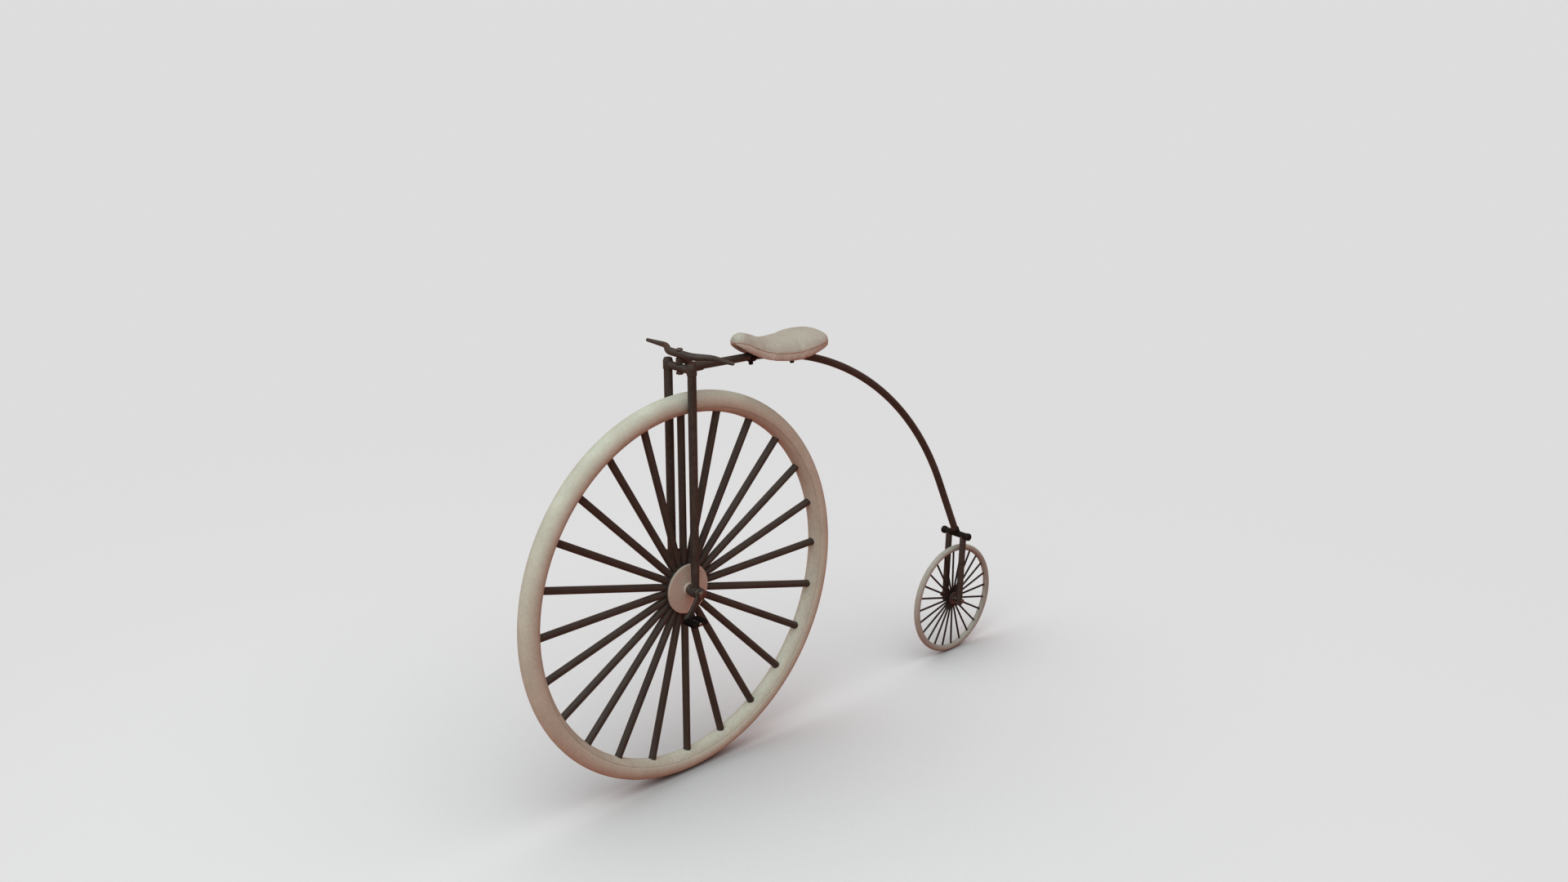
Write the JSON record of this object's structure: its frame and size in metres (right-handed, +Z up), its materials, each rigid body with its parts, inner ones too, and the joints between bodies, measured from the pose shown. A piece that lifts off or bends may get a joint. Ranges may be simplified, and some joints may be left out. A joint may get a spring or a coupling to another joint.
{
  "type": "penny-farthing",
  "caption": "Penny-farthing bicycle with a tall spoked front wheel turned by cranks on its axle, a small trailing wheel, a curved backbone and a long leather saddle.",
  "frame": {"origin": "where the rider sits: the middle line of the saddle's top, over its widest part", "axes": "+X forward, +Y to the rider's left, +Z up; the wheels' lowest points are at Z = -1.429 m"},
  "size_m": [2.2427, 0.42, 1.474],
  "materials": {
    "frame_paint": "dark brown stove enamel, satin, worn at the edges",
    "black_iron": "nearly black enamel on iron",
    "steel": "turned steel",
    "saddle_leather": "pale undyed leather, matt",
    "tyre_rubber": "pale grey solid rubber, matt",
    "rim_paint": "pale painted wood",
    "spoke_finish": "dark stained round spokes",
    "hub_paint": "pinkish brown enamel, matt",
    "pedal_rubber": "black moulded rubber"
  },
  "bodies": {
    "frame": {"backbone": "frame_paint", "head_lug": "frame_paint", "saddle_pad": "saddle_leather", "saddle_pan": "black_iron", "saddle_clip_front": "black_iron", "saddle_clip_rear": "black_iron", "rear_crossbar": "black_iron", "crossbar_cap_left": "black_iron", "crossbar_cap_right": "black_iron", "rear_leg_left": "frame_paint", "rear_leg_right": "frame_paint", "rear_axle": "steel", "rear_axle_nut_left": "steel", "rear_axle_nut_right": "steel"},
    "fork": {"fork_leg_left": "frame_paint", "fork_leg_right": "frame_paint", "fork_crown": "frame_paint", "steering_spindle": "steel", "spindle_nut": "steel", "handlebar": "frame_paint"},
    "front_wheel": {"front_tyre": "tyre_rubber", "front_rim": "rim_paint", "front_spokes": "spoke_finish", "front_hub_plate_left": "hub_paint", "front_hub_plate_right": "hub_paint", "front_axle": "steel", "axle_nut_left": "steel", "axle_nut_right": "steel", "crank_left": "frame_paint", "crank_right": "frame_paint", "pedal_pin_left": "steel", "pedal_pin_right": "steel"},
    "pedal_left": {"pedal_frame_left": "black_iron", "pedal_tread_front_left": "pedal_rubber", "pedal_tread_rear_left": "pedal_rubber"},
    "pedal_right": {"pedal_frame_right": "black_iron", "pedal_tread_front_right": "pedal_rubber", "pedal_tread_rear_right": "pedal_rubber"},
    "rear_wheel": {"rear_tyre": "tyre_rubber", "rear_rim": "rim_paint", "rear_spokes": "spoke_finish", "rear_hub_plate_left": "hub_paint", "rear_hub_plate_right": "hub_paint"}
  },
  "joints": [
    {"name": "steering", "type": "hinge", "parent": "frame", "child": "fork", "pos_m": [0.462, 0, -0.001], "axis": [0, 0, 1], "range_deg": [-35, 35]},
    {"name": "front_wheel_spin", "type": "hinge", "parent": "fork", "child": "front_wheel", "pos_m": [0.462, 0, -0.769], "axis": [0, 1, 0], "continuous": true},
    {"name": "rear_wheel_spin", "type": "hinge", "parent": "frame", "child": "rear_wheel", "pos_m": [-0.9052, 0, -1.213], "axis": [0, 1, 0], "continuous": true},
    {"name": "pedal_left_spin", "type": "hinge", "parent": "front_wheel", "child": "pedal_left", "pos_m": [0.51741, 0.1179, -0.83992], "axis": [0, 1, 0], "continuous": true},
    {"name": "pedal_right_spin", "type": "hinge", "parent": "front_wheel", "child": "pedal_right", "pos_m": [0.40659, -0.1179, -0.69808], "axis": [0, 1, 0], "continuous": true}
  ]
}
